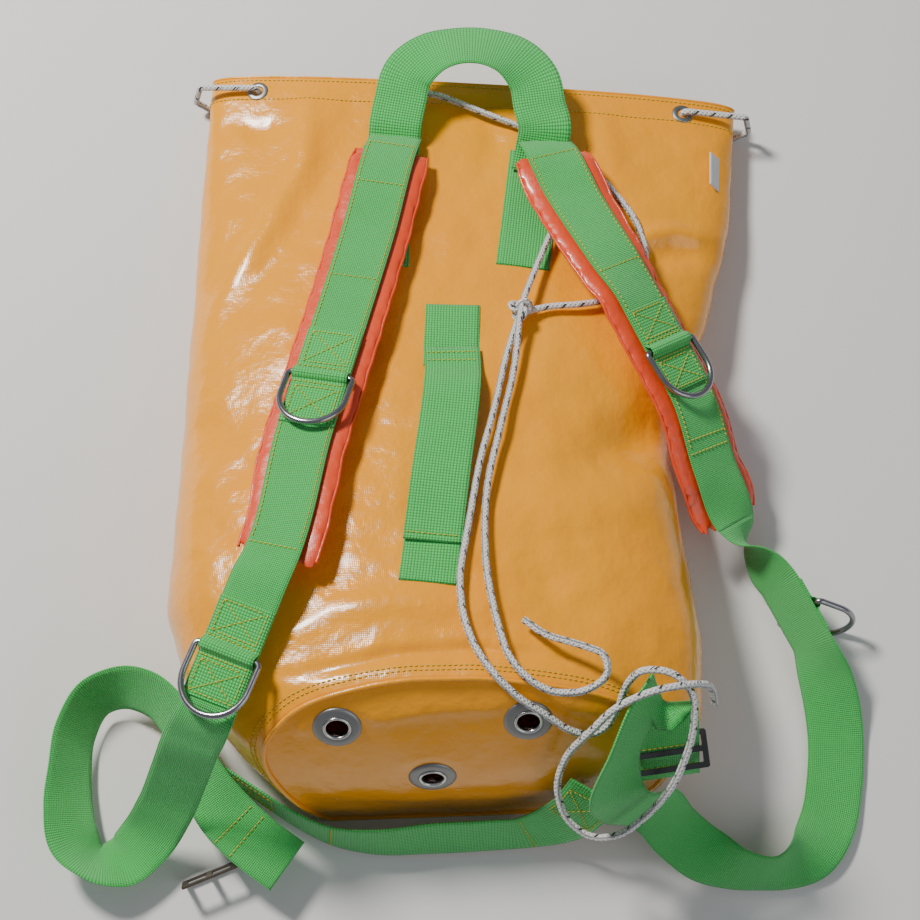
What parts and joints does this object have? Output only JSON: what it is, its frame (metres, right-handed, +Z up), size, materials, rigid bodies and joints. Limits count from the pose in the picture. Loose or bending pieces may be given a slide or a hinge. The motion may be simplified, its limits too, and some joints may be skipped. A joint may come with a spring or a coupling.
{
  "type": "rope bag",
  "caption": "Soft tubular rope bag with an open corded mouth, oval base with drain eyelets, webbing backpack straps, padded shoulders, D-rings and haul loop.",
  "frame": {"origin": "on the floor under the middle of the bag as it lies on its back", "axes": "+Z up out of the harness side, +Y from the base to the open mouth, +X to the right seen from above with the base nearest"},
  "size_m": [0.7169, 0.8182, 0.23],
  "materials": {
    "coated_fabric": "glossy PVC-coated fabric",
    "eyelet_metal": "dull nickel",
    "webbing": "bright green basket-weave webbing",
    "label_cloth": "plain woven label",
    "pad_cloth": "orange-red coated cloth",
    "foam": "closed-cell foam",
    "ring_steel": "polished stainless steel",
    "black_metal": "black painted",
    "buckle_steel": "dark worn steel",
    "cord": "white braid with dark flecks"
  },
  "bodies": {
    "bag": {"harness_panel": "coated_fabric", "back_panel": "coated_fabric", "base_panel": "coated_fabric", "mouth_hem": "coated_fabric", "mouth_eyelets": "eyelet_metal", "mouth_washers": "eyelet_metal", "drain_eyelets": "eyelet_metal", "drain_washers": "eyelet_metal", "left_haul_anchor": "webbing", "right_haul_anchor": "webbing", "hand_strap_top_patch": "webbing", "hand_strap_bottom_patch": "webbing", "hand_strap": "webbing", "label": "label_cloth", "left_lower_strap_return": "webbing", "right_lower_strap_return": "webbing", "left_anchor_tab": "webbing", "base_belt": "webbing", "right_anchor_tab": "webbing", "left_buckle_loop": "webbing", "mouth_cord": "cord", "left_drawcord": "cord", "right_drawcord": "cord", "drawcord_knot": "cord"},
    "haul_loop": {"haul_loop": "webbing"},
    "left_strap": {"left_shoulder_webbing": "webbing", "left_pad_cover": "pad_cloth", "left_pad_foam": "foam", "left_lower_strap": "webbing", "left_upper_ring_tab": "webbing", "left_lower_ring_tab": "webbing"},
    "right_strap": {"right_shoulder_webbing": "webbing", "right_pad_cover": "pad_cloth", "right_pad_foam": "foam", "right_lower_strap": "webbing", "right_upper_ring_tab": "webbing", "right_lower_ring_tab": "webbing"},
    "left_upper_ring": {"left_upper_ring": "ring_steel"},
    "left_lower_ring": {"left_lower_ring": "ring_steel"},
    "right_upper_ring": {"right_upper_ring": "ring_steel"},
    "right_lower_ring": {"right_lower_ring": "ring_steel"},
    "right_buckle": {"right_buckle": "black_metal"},
    "left_buckle": {"left_buckle": "buckle_steel"}
  },
  "joints": [
    {"name": "haul_loop_lift", "type": "hinge", "parent": "bag", "child": "haul_loop", "pos_m": [0, 0.286, 0.095], "axis": [1, 0, 0], "range_deg": [0, 90]},
    {"name": "left_strap_lift", "type": "hinge", "parent": "bag", "child": "left_strap", "pos_m": [-0.069, 0.267, 0.086], "axis": [-1, 0, 0], "range_deg": [0, 18]},
    {"name": "right_strap_lift", "type": "hinge", "parent": "bag", "child": "right_strap", "pos_m": [0.079, 0.267, 0.095], "axis": [-1, 0, 0], "range_deg": [0, 18]},
    {"name": "left_upper_ring_swing", "type": "hinge", "parent": "left_strap", "child": "left_upper_ring", "pos_m": [-0.11006, 0.0007, 0.15604], "axis": [-0.9806, 0.1338, -0.1436], "range_deg": [0, 140]},
    {"name": "left_lower_ring_swing", "type": "hinge", "parent": "left_strap", "child": "left_lower_ring", "pos_m": [-0.16124, -0.25393, 0.18728], "axis": [-0.9354, 0.3224, -0.1451], "range_deg": [0, 140]},
    {"name": "right_upper_ring_swing", "type": "hinge", "parent": "right_strap", "child": "right_upper_ring", "pos_m": [0.19524, 0.06534, 0.1122], "axis": [-0.7115, -0.5401, 0.4495], "range_deg": [0, 140]},
    {"name": "right_lower_ring_swing", "type": "hinge", "parent": "right_strap", "child": "right_lower_ring", "pos_m": [0.3261, -0.15537, 0.03482], "axis": [0.4844, 0.204, 0.8507], "range_deg": [0, 80]},
    {"name": "right_buckle_slide", "type": "slide", "parent": "bag", "child": "right_buckle", "axis": [0.1275, -0.5951, -0.7935], "range_m": [-0.008, 0.008]},
    {"name": "left_buckle_swing", "type": "hinge", "parent": "bag", "child": "left_buckle", "pos_m": [-0.14176, -0.39758, 0.01699], "axis": [-0.1216, 0.2544, -0.9594], "range_deg": [-15, 15]}
  ]
}
